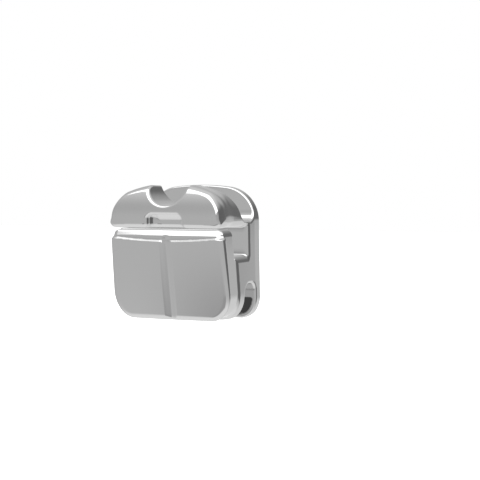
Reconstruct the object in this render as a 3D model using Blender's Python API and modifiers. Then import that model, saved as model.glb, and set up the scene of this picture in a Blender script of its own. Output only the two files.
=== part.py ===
"""Passive self-ligating orthodontic bracket: moulded body, sliding door, detent spring and bonding mesh.

The front faces -Y, the bonding base lies in the plane Y = 0 and +Z is up. The origin is the middle of the
bonding base. Depths grow from the base towards the front.
"""

import math

import bmesh
import bpy
from mathutils import Euler, Matrix, Vector

MM = 0.001

# Overall size and the outline seen from the front; the depth takes in the bonding mesh
BODY_HEIGHT = 2.90 * MM
BODY_WIDTH = 2.50 * MM
BODY_DEPTH = 2.26 * MM
BODY_FLARE = 0.03 * MM
CROWN_RADIUS = 2.30 * MM
SHOULDER_RADIUS = 0.60 * MM
CORNER_WIDTH = 0.48 * MM
CORNER_HEIGHT = 0.62 * MM

# Depths, from the back of the bonding base towards the front
MESH_THICKNESS = 0.10 * MM
BRAZE_GAP = 0.01 * MM
PAD_THICKNESS = 0.27 * MM
SLOT_DEPTH = 0.73 * MM
WING_OVERHANG = 0.77 * MM

# Archwire slot and the wings above and below it
SLOT_HEIGHT = 0.61 * MM
SLOT_TOP = 0.52 * MM
SLOT_LIP_RADIUS = 0.04 * MM
WING_EDGE_RADIUS = 0.09 * MM
WING_CORNER_RADIUS = 0.16 * MM
FRONT_RIM_RADIUS = 0.13 * MM
BACK_RIM_RADIUS = 0.04 * MM
UPPER_GROOVE_FLOOR = 0.63 * MM
UPPER_GROOVE_WIDTH = 0.56 * MM
UPPER_GROOVE_RADIUS = 0.26 * MM
WING_REAR_LEAN = math.radians(31.5)
WING_BOW_START = 0.73 * MM
WING_BOW_RADIUS = 0.95 * MM
PAD_FILLET = 0.26 * MM
LOWER_GROOVE_TOP = -0.70 * MM
LOWER_GROOVE_WIDTH = 0.54 * MM
LOWER_GROOVE_RADIUS = 0.22 * MM

# Notch in the crown and the tool recess in the wing's lower edge
NOTCH_RADIUS = 0.43 * MM
NOTCH_BOTTOM = 0.96 * MM
RECESS_WIDTH = 0.82 * MM
RECESS_TOP = 0.80 * MM
RECESS_DEPTH = 0.35 * MM
RECESS_RADIUS = 0.08 * MM

# Sliding door
SLIDE_LEAN = math.radians(6.7)
FACE_LEAN = math.radians(10.6)
DOOR_WIDTH = 2.52 * MM
DOOR_FLARE = 0.05 * MM
DOOR_TOP_GAP = 0.03 * MM
DOOR_BACK_GAP = 0.02 * MM
DOOR_CORNER_RADIUS = 0.16 * MM
DOOR_BOTTOM = -1.44 * MM
PLATE_THICKNESS = 0.47 * MM
SHIELD_THICKNESS = 0.28 * MM
SHIELD_EDGE_RADIUS = 0.09 * MM
PLATE_EDGE_RADIUS = 0.035 * MM
STEP_OVERLAP = 0.03 * MM
SCRIBE_WIDTH = 0.25 * MM
SCRIBE_DEPTH = 0.05 * MM
SCRIBE_TOP_MARGIN = 0.10 * MM

# Guide channel in the body and guide tongue on the door
TONGUE_NECK_WIDTH = 0.60 * MM
TONGUE_HEAD_WIDTH = 0.90 * MM
TONGUE_NECK_DEPTH = 0.13 * MM
TONGUE_HEAD_DEPTH = 0.15 * MM
TONGUE_LENGTH = 0.88 * MM
TONGUE_NECK_INSET = 0.02 * MM
TONGUE_BOTTOM_MARGIN = 0.10 * MM
GUIDE_GAP = 0.02 * MM
CHANNEL_TOP_WALL = 0.20 * MM

# Detent spring
WIRE_DIAMETER = 0.12 * MM
WIRE_GAP = 0.015 * MM
DETENT_TRAVEL = 0.60 * MM
DETENT_BUMP = 0.03 * MM
DETENT_LENGTH = 0.16 * MM

# Bonding mesh
MESH_INSET = 0.06 * MM
MESH_PITCH = 0.25 * MM
MESH_RIDGE = 0.09 * MM
MESH_POCKET_DEPTH = 0.06 * MM

ARC_STEPS = 8
CROWN_STEPS = 10
PROFILE_STEPS = 6
BEND_STEPS = 4
RIM_SEGMENTS = 3
SHARP = math.radians(35)
OVERSHOOT = 0.30 * MM
WELD = 1e-8
FLAT = math.radians(0.05)
# Curves are drawn this many times larger and shrunk as meshes: a curve's fill joins points under 0.03 mm
DRAWING_SCALE = 1000

STEEL = ("polished_stainless_steel", (0.62, 0.62, 0.61), 1.0, 0.12)
SPRING_STEEL = ("spring_wire", (0.55, 0.55, 0.56), 1.0, 0.22)
FOIL = ("brazed_foil_mesh", (0.48, 0.47, 0.46), 1.0, 0.45)

TOP = BODY_HEIGHT / 2
BOTTOM = -BODY_HEIGHT / 2
PAD_BACK = -(MESH_THICKNESS + BRAZE_GAP)
PAD_FRONT = PAD_BACK - PAD_THICKNESS
WING_FRONT = -BODY_DEPTH
PARTING = WING_FRONT + WING_OVERHANG
SLOT_FLOOR = PARTING + SLOT_DEPTH
SLOT_BOTTOM = SLOT_TOP - SLOT_HEIGHT
DOOR_TOP = SLOT_TOP - DOOR_TOP_GAP


def parting_y(z, offset=0.0):
    """Depth of the leaning parting plane at height z, moved forward by offset along its normal."""
    return PARTING + (DOOR_TOP - z) * math.tan(SLIDE_LEAN) - offset / math.cos(SLIDE_LEAN)


def face_y(z):
    """Depth of the door's leaning front face at height z."""
    front = parting_y(DOOR_TOP) - PLATE_THICKNESS - SHIELD_THICKNESS
    return front + (DOOR_TOP - z) * math.tan(FACE_LEAN)


def clear_scene():
    for item in list(bpy.data.objects):
        bpy.data.objects.remove(item)


def new_collection(name):
    made = bpy.data.collections.new(name)
    bpy.context.scene.collection.children.link(made)
    return made


def new_material(name, colour, metallic, roughness):
    made = bpy.data.materials.new(name)
    made.use_nodes = True
    shader = made.node_tree.nodes["Principled BSDF"]
    shader.inputs["Base Color"].default_value = (*colour, 1.0)
    shader.inputs["Metallic"].default_value = metallic
    shader.inputs["Roughness"].default_value = roughness
    return made


def arc(centre, radius_u, radius_v, start, end, steps):
    """Points of an elliptic arc from the angle start to the angle end, both included."""
    angles = [start + (end - start) * i / steps for i in range(steps + 1)]
    return [
        (centre[0] + radius_u * math.cos(a), centre[1] + radius_v * math.sin(a)) for a in angles
    ]


def rounded(corners, steps):
    """A closed outline through corners given as (u, v, radius), each turned with its radius."""
    points = []
    for i, (u, v, radius) in enumerate(corners):
        corner = Vector((u, v))
        if radius == 0:
            points.append((u, v))
            continue
        before = (Vector(corners[i - 1][:2]) - corner).normalized()
        after = (Vector(corners[(i + 1) % len(corners)][:2]) - corner).normalized()
        half_angle = before.angle(after) / 2
        centre = corner + (before + after).normalized() * (radius / math.sin(half_angle))
        start = corner + before * (radius / math.tan(half_angle)) - centre
        end = corner + after * (radius / math.tan(half_angle)) - centre
        turn = start.angle_signed(end)
        for k in range(steps + 1):
            swung = Matrix.Rotation(-turn * k / steps, 2) @ start
            points.append(tuple(centre + swung))
    return points


def mirrored(half):
    """An outline closed by its own mirror image across u = 0, from a half that runs top to bottom."""
    left = [(-u, v) for u, v in reversed(half) if u > WELD]
    return list(half) + left


def front_outline(width, flare, inset=0.0):
    """The bracket's outline from the front: crown, shoulders, straight sides and oval lower corners."""
    side = width / 2 - inset
    shoulder = SHOULDER_RADIUS - inset
    crown = CROWN_RADIUS - inset
    crown_centre = TOP - CROWN_RADIUS
    shoulder_u = side - shoulder
    shoulder_v = crown_centre + math.sqrt((crown - shoulder) ** 2 - shoulder_u**2)
    meet = math.atan2(shoulder_v - crown_centre, shoulder_u)
    corner_u = CORNER_WIDTH - inset
    corner_v = CORNER_HEIGHT - inset
    low_side = side + flare
    half = arc((0, crown_centre), crown, crown, math.pi / 2, meet, CROWN_STEPS)
    half += arc((shoulder_u, shoulder_v), shoulder, shoulder, meet, 0, ARC_STEPS)[1:]
    low_centre = (low_side - corner_u, BOTTOM + CORNER_HEIGHT)
    half += arc(low_centre, corner_u, corner_v, 0, -math.pi / 2, ARC_STEPS)
    return mirrored(half)


def door_outline():
    """The door's outline from the front: small upper corners, oval lower corners, sides that flare down."""
    side = DOOR_WIDTH / 2
    radius = DOOR_CORNER_RADIUS
    half = [(0.0, DOOR_TOP)]
    half += arc((side - radius, DOOR_TOP - radius), radius, radius, math.pi / 2, 0, ARC_STEPS)
    low_centre = (side + DOOR_FLARE - CORNER_WIDTH, DOOR_BOTTOM + CORNER_HEIGHT)
    half += arc(low_centre, CORNER_WIDTH, CORNER_HEIGHT, 0, -math.pi / 2, ARC_STEPS)
    return mirrored(half)


def extruded(name, outline, length, placement, collection):
    """A closed prism: the outline extruded by half the length each way, then placed by a matrix."""
    curve = bpy.data.curves.new(name, "CURVE")
    curve.dimensions = "2D"
    curve.fill_mode = "BOTH"
    curve.extrude = length / 2 * DRAWING_SCALE
    spline = curve.splines.new("POLY")
    spline.points.add(len(outline) - 1)
    for point, (u, v) in zip(spline.points, outline):
        point.co = (u * DRAWING_SCALE, v * DRAWING_SCALE, 0, 1)
    spline.use_cyclic_u = True
    guide = bpy.data.objects.new(name + "_outline", curve)
    collection.objects.link(guide)
    return meshed(guide, name, placement, collection)


def meshed(guide, name, placement, collection):
    """The guide curve as a welded mesh object; the curve itself is removed."""
    bpy.context.view_layer.update()
    graph = bpy.context.evaluated_depsgraph_get()
    mesh = bpy.data.meshes.new_from_object(guide.evaluated_get(graph))
    mesh.name = name
    curve = guide.data
    bpy.data.objects.remove(guide)
    bpy.data.curves.remove(curve)
    shape = bmesh.new()
    shape.from_mesh(mesh)
    bmesh.ops.remove_doubles(shape, verts=shape.verts, dist=WELD * DRAWING_SCALE)
    bmesh.ops.recalc_face_normals(shape, faces=shape.faces)
    bmesh.ops.dissolve_limit(shape, angle_limit=FLAT, verts=shape.verts, edges=shape.edges)
    shrink = Matrix.Scale(1 / DRAWING_SCALE, 4)
    bmesh.ops.transform(shape, matrix=placement @ shrink, verts=shape.verts)
    shape.to_mesh(mesh)
    shape.free()
    made = bpy.data.objects.new(name, mesh)
    collection.objects.link(made)
    return made


def across():
    """Placement of a side profile (u back, v up) that is extruded along X."""
    return Matrix(((0, 0, 1, 0), (1, 0, 0, 0), (0, 1, 0, 0), (0, 0, 0, 1)))


def facing(front, back):
    """Placement of a front outline (u right, v up) between two depths."""
    turn = Matrix.Rotation(math.pi / 2, 4, "X")
    return Matrix.Translation((0, (front + back) / 2, 0)) @ turn


def slide_frame():
    """The door's frame: X across, Y into the body and Z up along the parting plane."""
    return Matrix.Translation((0, PARTING, DOOR_TOP)) @ Matrix.Rotation(SLIDE_LEAN, 4, "X")


def slide_box(name, half_width, front, back, bottom, top, collection):
    """A box square to the slide frame, between two depths and two heights of that frame."""
    middle = Matrix.Translation((0, (front + back) / 2, (bottom + top) / 2))
    size = Matrix.Diagonal((2 * half_width, back - front, top - bottom, 1))
    shape = bmesh.new()
    bmesh.ops.create_cube(shape, size=1, matrix=slide_frame() @ middle @ size)
    mesh = bpy.data.meshes.new(name)
    shape.to_mesh(mesh)
    shape.free()
    made = bpy.data.objects.new(name, mesh)
    collection.objects.link(made)
    return as_cutter(made)


def as_cutter(item):
    item.hide_render = True
    item.display_type = "WIRE"
    return item


def boolean(item, other, operation):
    step = item.modifiers.new(operation.title() + " " + other.name, "BOOLEAN")
    step.operation = operation
    step.solver = "EXACT"
    step.object = other


def bevel(item, width, limit):
    step = item.modifiers.new("Rounded edges", "BEVEL")
    step.width = width
    step.segments = RIM_SEGMENTS
    step.limit_method = limit
    step.angle_limit = SHARP
    step.use_clamp_overlap = False


def weigh_rims(item, front, back, back_weight):
    """Gives a prism's front rim the whole bevel width and its back rim a share of it."""
    shape = bmesh.new()
    shape.from_mesh(item.data)
    weights = shape.edges.layers.float.new("bevel_weight_edge")
    for edge in shape.edges:
        depths = [vertex.co.y for vertex in edge.verts]
        if abs(depths[0] - depths[1]) > WELD:
            continue
        at_front = abs(depths[0] - front) < abs(depths[0] - back)
        edge[weights] = 1.0 if at_front else back_weight
    shape.to_mesh(item.data)
    shape.free()


def smooth(item):
    item.data.shade_smooth()
    item.data.set_sharp_from_angle(angle=SHARP)


def body_profile():
    """The body from the side, as (y, z, radius) corners: lower wing, slot, upper wing, tie grooves, pad."""
    low = BOTTOM - OVERSHOOT
    high = TOP + OVERSHOOT
    upper_front = PAD_FRONT - UPPER_GROOVE_WIDTH
    upper_rise = high - UPPER_GROOVE_FLOOR
    lower_front = PAD_FRONT - LOWER_GROOVE_WIDTH
    return [
        (parting_y(SLOT_BOTTOM), SLOT_BOTTOM, SLOT_LIP_RADIUS),
        (SLOT_FLOOR, SLOT_BOTTOM, 0),
        (SLOT_FLOOR, SLOT_TOP, 0),
        (WING_FRONT, SLOT_TOP, WING_EDGE_RADIUS),
        (WING_FRONT, high, 0),
        (upper_front - upper_rise * math.tan(WING_REAR_LEAN), high, 0),
        (upper_front, UPPER_GROOVE_FLOOR, UPPER_GROOVE_RADIUS),
        (PAD_FRONT, UPPER_GROOVE_FLOOR, PAD_FILLET),
        (PAD_FRONT, high, 0),
        (PAD_BACK, high, 0),
        (PAD_BACK, low, 0),
        (PAD_FRONT, low, 0),
        (PAD_FRONT, LOWER_GROOVE_TOP, LOWER_GROOVE_RADIUS),
        (lower_front, LOWER_GROOVE_TOP, LOWER_GROOVE_RADIUS),
        (lower_front, low, 0),
        (parting_y(low), low, 0),
    ]


def wing_corner_cutter(side, cutters):
    """Takes off the outer lower corner of the upper wing, on the given side, as a round."""
    edge = BODY_WIDTH / 2
    radius = WING_CORNER_RADIUS
    out = edge + OVERSHOOT
    centre = (edge - radius, SLOT_TOP + radius)
    points = arc(centre, radius, radius, -math.pi / 2, 0, ARC_STEPS)
    points += [(out, SLOT_TOP + radius), (out, SLOT_TOP - radius / 2)]
    points += [(edge - radius, SLOT_TOP - radius / 2)]
    outline = [(side * u, v) for u, v in points]
    name = "cut_wing_corner_right" if side > 0 else "cut_wing_corner_left"
    place = facing(WING_FRONT - OVERSHOOT, SLOT_FLOOR)
    return as_cutter(extruded(name, outline, SLOT_FLOOR - WING_FRONT + OVERSHOOT, place, cutters))


def notch_cutter(cutters):
    """The U-shaped notch through the crown of the upper wing; it stops in the tie groove."""
    centre = NOTCH_BOTTOM + NOTCH_RADIUS
    outline = arc((0, centre), NOTCH_RADIUS, NOTCH_RADIUS, -math.pi, 0, ARC_STEPS * 2)
    outline += [(NOTCH_RADIUS, TOP + OVERSHOOT), (-NOTCH_RADIUS, TOP + OVERSHOOT)]
    front = WING_FRONT - OVERSHOOT
    back = PAD_FRONT - UPPER_GROOVE_WIDTH / 3
    return as_cutter(extruded("cut_notch", outline, back - front, facing(front, back), cutters))


def recess_cutter(cutters):
    """The pocket for the opening tool in the lower edge of the upper wing."""
    half = RECESS_WIDTH / 2
    low = SLOT_TOP - OVERSHOOT / 2
    corners = [
        (-half, low, 0),
        (half, low, 0),
        (half, RECESS_TOP, RECESS_RADIUS),
        (-half, RECESS_TOP, RECESS_RADIUS),
    ]
    front = WING_FRONT - OVERSHOOT
    back = WING_FRONT + RECESS_DEPTH
    return as_cutter(
        extruded(
            "cut_tool_recess",
            rounded(corners, BEND_STEPS),
            back - front,
            facing(front, back),
            cutters,
        )
    )


def channel_half_width():
    return TONGUE_HEAD_WIDTH / 2 + WIRE_DIAMETER + 2 * WIRE_GAP


def channel_depth():
    return TONGUE_NECK_DEPTH + TONGUE_HEAD_DEPTH + GUIDE_GAP


def channel_top():
    """Height of the channel's closed end in the slide frame."""
    return (SLOT_BOTTOM - CHANNEL_TOP_WALL - DOOR_TOP) / math.cos(SLIDE_LEAN)


def channel_cutters(cutters):
    """The T-shaped channel for the door's tongue and the spring, closed above and open below."""
    neck = TONGUE_NECK_WIDTH / 2 + GUIDE_GAP
    lip = TONGUE_NECK_DEPTH - GUIDE_GAP
    head = channel_half_width()
    back = channel_depth()
    low = (BOTTOM - OVERSHOOT - DOOR_TOP) / math.cos(SLIDE_LEAN)
    top = channel_top()
    return [
        slide_box("cut_channel_neck", neck, -OVERSHOOT, (lip + back) / 2, low, top, cutters),
        slide_box("cut_channel_head", head, lip, back, low, top, cutters),
    ]


def wing_bow(z):
    """How far the bowed face of the upper wing lies behind its front plane at height z."""
    rise = min(max(z - WING_BOW_START, 0), 0.9 * WING_BOW_RADIUS)
    return WING_BOW_RADIUS - math.sqrt(WING_BOW_RADIUS**2 - rise**2)


def body_hull(cutters):
    """The body's outline as a prism with round rims, whose face bows back towards the crown."""
    depth = PAD_BACK - WING_FRONT
    blank = front_outline(BODY_WIDTH, BODY_FLARE)
    prism = extruded("flat_outline", blank, depth, facing(WING_FRONT, PAD_BACK), cutters)
    weigh_rims(prism, WING_FRONT, PAD_BACK, BACK_RIM_RADIUS / FRONT_RIM_RADIUS)
    bevel(prism, FRONT_RIM_RADIUS, "WEIGHT")
    bpy.context.view_layer.update()
    graph = bpy.context.evaluated_depsgraph_get()
    mesh = bpy.data.meshes.new_from_object(prism.evaluated_get(graph))
    bpy.data.objects.remove(prism)
    shape = bmesh.new()
    shape.from_mesh(mesh)
    face = min(shape.faces, key=lambda item: item.calc_center_median().y)
    bowed = [vertex for vertex in face.verts if wing_bow(vertex.co.z) > 0]
    for right in [vertex for vertex in bowed if vertex.co.x > WELD]:
        mirror = Vector((-right.co.x, right.co.y, right.co.z))
        left = min(bowed, key=lambda vertex: (vertex.co - mirror).length)
        bmesh.ops.connect_verts(shape, verts=[right, left])
    for vertex in shape.verts:
        if vertex.co.y < SLOT_FLOOR:
            vertex.co.y += wing_bow(vertex.co.z)
    shape.to_mesh(mesh)
    shape.free()
    hull = bpy.data.objects.new("cut_body_outline", mesh)
    cutters.objects.link(hull)
    return as_cutter(hull)


def make_body(parts, cutters):
    hull = body_hull(cutters)
    span = BODY_WIDTH + 2 * OVERSHOOT
    body = extruded("bracket_body", rounded(body_profile(), PROFILE_STEPS), span, across(), parts)
    boolean(body, hull, "INTERSECT")
    for side in (-1, 1):
        boolean(body, wing_corner_cutter(side, cutters), "DIFFERENCE")
    boolean(body, notch_cutter(cutters), "DIFFERENCE")
    boolean(body, recess_cutter(cutters), "DIFFERENCE")
    for cutter in channel_cutters(cutters):
        boolean(body, cutter, "DIFFERENCE")
    return body


def door_slab(name, front_of, back_of, radius, collection, outline_prism):
    """One layer of the door between two leaning planes, cut to the door's outline, with round rims."""
    low = DOOR_BOTTOM - OVERSHOOT
    high = DOOR_TOP + OVERSHOOT
    profile = [
        (front_of(low), low),
        (front_of(high), high),
        (back_of(high), high),
        (back_of(low), low),
    ]
    slab = extruded(name, profile, DOOR_WIDTH + 4 * OVERSHOOT, across(), collection)
    boolean(slab, outline_prism, "INTERSECT")
    bevel(slab, radius, "ANGLE")
    return slab


def tongue_range():
    """Bottom and top of the tongue in the slide frame, with the door closed."""
    bottom = (DOOR_BOTTOM + TONGUE_BOTTOM_MARGIN - DOOR_TOP) / math.cos(SLIDE_LEAN)
    return bottom, bottom + TONGUE_LENGTH


def detent_height():
    """Height of the spring's bumps in the slide frame: a little above the tongue's lower end."""
    return tongue_range()[0] + DETENT_LENGTH


def make_tongue(cutters):
    """The tongue on the door's back: a neck, and a head whose sides have two pairs of scallops."""
    bottom, top = tongue_range()
    root = -PLATE_THICKNESS / 2
    middle = TONGUE_NECK_DEPTH + TONGUE_HEAD_DEPTH / 2
    back = TONGUE_NECK_DEPTH + TONGUE_HEAD_DEPTH
    neck_bottom = bottom + TONGUE_NECK_INSET
    neck_top = top - TONGUE_NECK_INSET
    neck = slide_box(
        "tongue_neck", TONGUE_NECK_WIDTH / 2, root, middle, neck_bottom, neck_top, cutters
    )
    head = slide_box(
        "tongue_head", TONGUE_HEAD_WIDTH / 2, TONGUE_NECK_DEPTH, back, bottom, top, cutters
    )
    for side in (-1, 1):
        for label, height in (("closed", detent_height()), ("open", detent_height() + DETENT_TRAVEL)):
            boolean(head, scallop_cutter(side, label, height, cutters), "DIFFERENCE")
    return [neck, head]


def scallop_cutter(side, label, height, cutters):
    """A shallow round scallop across the side of the tongue's head."""
    head = TONGUE_HEAD_WIDTH / 2
    depth = DETENT_BUMP + WIRE_GAP
    half = DETENT_LENGTH / 2
    radius = (half**2 + depth**2) / (2 * depth)
    spread = math.asin(half / radius)
    centre = (side * (head - depth + radius), height)
    start = math.pi - spread if side > 0 else -spread
    points = arc(centre, radius, radius, start, start + 2 * spread, BEND_STEPS)
    points += [(side * (head + depth), points[-1][1]), (side * (head + depth), points[0][1])]
    place = slide_frame() @ Matrix.Translation((0, TONGUE_NECK_DEPTH + TONGUE_HEAD_DEPTH / 2, 0))
    place = place @ Matrix.Rotation(math.pi / 2, 4, "X")
    name = "cut_scallop_" + label + ("_right" if side > 0 else "_left")
    return as_cutter(extruded(name, points, TONGUE_HEAD_DEPTH * 2, place, cutters))


def scribe_cutter(cutters):
    """The round-bottomed groove down the middle of the door's face, with an arched upper end."""
    depth = SCRIBE_DEPTH
    half = SCRIBE_WIDTH / 2
    radius = (half**2 + depth**2) / (2 * depth)
    top = DOOR_TOP - SCRIBE_TOP_MARGIN
    low = DOOR_BOTTOM - OVERSHOOT
    lean = Matrix.Rotation(FACE_LEAN, 4, "X")
    centre = Matrix.Translation((0, face_y(top), top)) @ lean
    length = (top - low) / math.cos(FACE_LEAN)
    outline = arc((0, depth - radius), radius, radius, 0, 2 * math.pi, 4 * ARC_STEPS)[:-1]
    place = centre @ Matrix.Translation((0, 0, -length / 2))
    return as_cutter(extruded("cut_scribe_line", outline, length, place, cutters))


def make_door(parts, cutters):
    outline = door_outline()
    reach = PARTING - OVERSHOOT - PLATE_THICKNESS - SHIELD_THICKNESS
    back = PARTING + 2 * OVERSHOOT
    prism = extruded("cut_door_outline", outline, back - reach, facing(reach, back), cutters)
    as_cutter(prism)

    def shield_back(z):
        return parting_y(z, PLATE_THICKNESS)

    def plate_front(z):
        return parting_y(z, PLATE_THICKNESS + STEP_OVERLAP)

    def plate_back(z):
        return parting_y(z, DOOR_BACK_GAP)

    door = door_slab("sliding_door", face_y, shield_back, SHIELD_EDGE_RADIUS, parts, prism)
    plate = door_slab("door_plate", plate_front, plate_back, PLATE_EDGE_RADIUS, cutters, prism)
    as_cutter(plate)
    boolean(door, plate, "UNION")
    for piece in make_tongue(cutters):
        boolean(door, piece, "UNION")
    boolean(door, scribe_cutter(cutters), "DIFFERENCE")
    return door


def spring_route():
    """The wire's centre line in X and Z of the slide frame: a U with a bump inwards on each leg."""
    leg = TONGUE_HEAD_WIDTH / 2 + WIRE_GAP + WIRE_DIAMETER / 2
    top = channel_top() - WIRE_GAP - WIRE_DIAMETER / 2
    bend = WIRE_DIAMETER
    bump = detent_height()
    half = DETENT_LENGTH / 2
    end = bump - DETENT_LENGTH
    right = [(0.0, top)]
    right += arc((leg - bend, top - bend), bend, bend, math.pi / 2, 0, BEND_STEPS)
    right += [(leg, bump + half), (leg - DETENT_BUMP, bump), (leg, bump - half), (leg, end)]
    left = [(-u, v) for u, v in reversed(right) if u > WELD]
    return left + right


def make_spring(parts):
    route = spring_route()
    curve = bpy.data.curves.new("detent_spring_wire", "CURVE")
    curve.dimensions = "3D"
    curve.bevel_depth = WIRE_DIAMETER / 2 * DRAWING_SCALE
    curve.bevel_resolution = 2
    curve.use_fill_caps = True
    spline = curve.splines.new("POLY")
    spline.points.add(len(route) - 1)
    middle = TONGUE_NECK_DEPTH + TONGUE_HEAD_DEPTH / 2
    for point, (u, v) in zip(spline.points, route):
        point.co = (*(Vector((u, middle, v)) * DRAWING_SCALE), 1)
    guide = bpy.data.objects.new("detent_spring_guide", curve)
    parts.objects.link(guide)
    return meshed(guide, "detent_spring", slide_frame(), parts)


def pocket_columns(outline):
    """Centres of the mesh pockets that lie wholly inside the outline."""
    half = (MESH_PITCH - MESH_RIDGE) / 2
    margin = half + MESH_RIDGE
    count = math.ceil(BODY_HEIGHT / MESH_PITCH)
    steps = [(i + 0.5) * MESH_PITCH for i in range(-count, count)]
    return [(x, z) for x in steps for z in steps if holds(outline, x, z, margin)]


def holds(outline, x, z, margin):
    """Whether a square round (x, z) lies inside a convex outline."""
    corners = [(x + a * margin, z + b * margin) for a in (-1, 1) for b in (-1, 1)]
    for (u0, v0), (u1, v1) in zip(outline, outline[1:] + outline[:1]):
        if any((u1 - u0) * (cz - v0) - (v1 - v0) * (cx - u0) > 0 for cx, cz in corners):
            return False
    return True


def make_mesh(parts, cutters):
    """The foil pad with its grid of ridges, as a thin plate with shallow square pockets in its back."""
    outline = front_outline(BODY_WIDTH, BODY_FLARE, MESH_INSET)
    pad = extruded("bonding_mesh", outline, MESH_THICKNESS, facing(-MESH_THICKNESS, 0), parts)
    pockets = bmesh.new()
    side = MESH_PITCH - MESH_RIDGE
    deep = 2 * MESH_POCKET_DEPTH
    for x, z in pocket_columns(outline):
        place = Matrix.Translation((x, 0, z)) @ Matrix.Diagonal((side, deep, side, 1))
        bmesh.ops.create_cube(pockets, size=1, matrix=place)
    mesh = bpy.data.meshes.new("cut_mesh_pockets")
    pockets.to_mesh(mesh)
    pockets.free()
    cutter = bpy.data.objects.new("cut_mesh_pockets", mesh)
    cutters.objects.link(cutter)
    boolean(pad, as_cutter(cutter), "DIFFERENCE")
    return pad


def put_on_slide(door):
    """Moves the door's origin to the slide frame, under an empty that lies on the joint's axis."""
    frame = slide_frame()
    runner = bpy.data.objects.new("door_slide_axis", None)
    runner.location = frame.to_translation()
    runner.rotation_euler = Euler((SLIDE_LEAN, 0, 0))
    door.users_collection[0].objects.link(runner)
    door.parent = runner
    door.matrix_parent_inverse = frame.inverted()


def finish(item, material):
    item.data.materials.append(material)
    smooth(item)


def main():
    clear_scene()
    parts = new_collection("self_ligating_bracket")
    cutters = new_collection("cutters")
    cutters.hide_render = True
    steel = new_material(*STEEL)
    body = make_body(parts, cutters)
    door = make_door(parts, cutters)
    spring = make_spring(parts)
    mesh = make_mesh(parts, cutters)
    finish(body, steel)
    finish(door, steel)
    finish(spring, new_material(*SPRING_STEEL))
    finish(mesh, new_material(*FOIL))
    put_on_slide(door)


if __name__ == "__main__":
    main()
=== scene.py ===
"""Looks of the passive self-ligating bracket: polished moulded steel, sliding door, spring and foil mesh.

Every steel piece is one closed surface taken from a field of signed distance in millimetres: negative
inside the metal, positive outside. Planes, rounds and grooves are joined with fillets of known radius, and
the surface where the field is zero is meshed on a grid. A profile swept along a path could not carry the
fillets where grooves, rims and notches cross each other.
"""

import logging
import math
from collections.abc import Callable
from dataclasses import dataclass, field
from enum import Enum

import bpy  # noqa: E402
import numpy as np  # noqa: E402
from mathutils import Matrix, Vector  # noqa: E402


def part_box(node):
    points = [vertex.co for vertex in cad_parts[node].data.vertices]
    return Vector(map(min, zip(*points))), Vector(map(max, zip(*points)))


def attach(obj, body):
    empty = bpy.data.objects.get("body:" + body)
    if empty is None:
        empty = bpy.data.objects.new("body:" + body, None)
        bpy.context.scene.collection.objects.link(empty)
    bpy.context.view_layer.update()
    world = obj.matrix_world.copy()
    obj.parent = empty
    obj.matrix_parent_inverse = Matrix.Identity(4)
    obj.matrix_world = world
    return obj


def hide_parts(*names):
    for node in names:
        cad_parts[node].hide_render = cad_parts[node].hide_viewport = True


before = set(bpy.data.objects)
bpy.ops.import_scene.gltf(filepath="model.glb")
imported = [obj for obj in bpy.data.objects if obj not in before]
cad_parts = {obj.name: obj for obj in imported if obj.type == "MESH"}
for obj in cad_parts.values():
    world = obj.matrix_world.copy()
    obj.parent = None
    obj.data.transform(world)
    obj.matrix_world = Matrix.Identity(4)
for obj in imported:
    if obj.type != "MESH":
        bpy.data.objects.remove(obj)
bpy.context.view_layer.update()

MM = 0.001
FAR = 9.0  # mm, beyond any wire
GRADIENT_REACH = 0.12  # of a cell, from a point to the samples of its gradient
LEAST_SLOPE = 0.05  # squared slope that a settling move counts with at least
MOST_MOVE = 0.35  # of a cell, in one pass of settling
CREVICE_STEPS = ((0.03, 0.35), (0.07, 0.35), (0.14, 0.30))  # heights in mm and their weights
Array = np.ndarray
Band = tuple[float, float]  # where a blend starts and ends, in mm
Field = Callable[[Array, Array, Array], Array]


class Body(Enum):
    """The two bodies of the frame, of which the door moves."""

    BRACKET = "body"
    DOOR = "door"


class Slot(Enum):
    """The record's material slots."""

    BODY = "body_steel"
    DOOR = "door_steel"
    SPRING = "spring_wire"
    MESH = "foil_mesh"


def convex(a: Array, b: Array, radius: Array | float, cosine: float = 0.0) -> Array:
    """The metal inside both a and b, with its outer corner rounded.

    Both sides move in by the radius. In the wedge beyond both moved sides the distance is measured from
    the moved corner, sqrt((a^2 + b^2 - 2abc) / (1 - c^2)), less the radius; elsewhere the larger one holds.

    Args:
        a: distance to the first side, in mm.
        b: distance to the second side, in mm.
        radius: radius of the rounded corner, in mm.
        cosine: cosine of the angle between the two sides' outward normals.

    Returns:
        The signed distance to the joined shape.
    """
    p = a + radius
    q = b + radius
    square = (p * p + q * q - 2 * cosine * p * q) / (1 - cosine * cosine)
    turn = np.sqrt(np.maximum(square, 0)) - radius
    return np.where((p > cosine * q) & (q > cosine * p), turn, np.maximum(a, b))


def concave(a: Array, b: Array, radius: Array | float, cosine: float = 0.0) -> Array:
    """The metal inside a or b, with a fillet in its inner corner: convex with all signs turned."""
    return -convex(-a, -b, radius, cosine)


def oval_corner(a: Array, b: Array, width: Array | float, height: Array | float) -> Array:
    """The metal inside both a and b, with an elliptic corner.

    With u = (a + width) / width and v = (b + height) / height, the corner is where hypot(u, v) = 1; its
    distance is (h - 1) h / hypot(u / width, v / height).

    Args:
        a: distance to the upright side, in mm.
        b: distance to the level side, in mm.
        width: half axis of the corner across, in mm.
        height: half axis of the corner up and down, in mm.

    Returns:
        The signed distance to the joined shape.
    """
    u = (a + width) / width
    v = (b + height) / height
    h = np.hypot(u, v)
    scale = np.maximum(np.hypot(u / width, v / height), 1e-6)
    return np.where((u > 0) & (v > 0), (h - 1) * h / scale, np.maximum(a, b))


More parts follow.
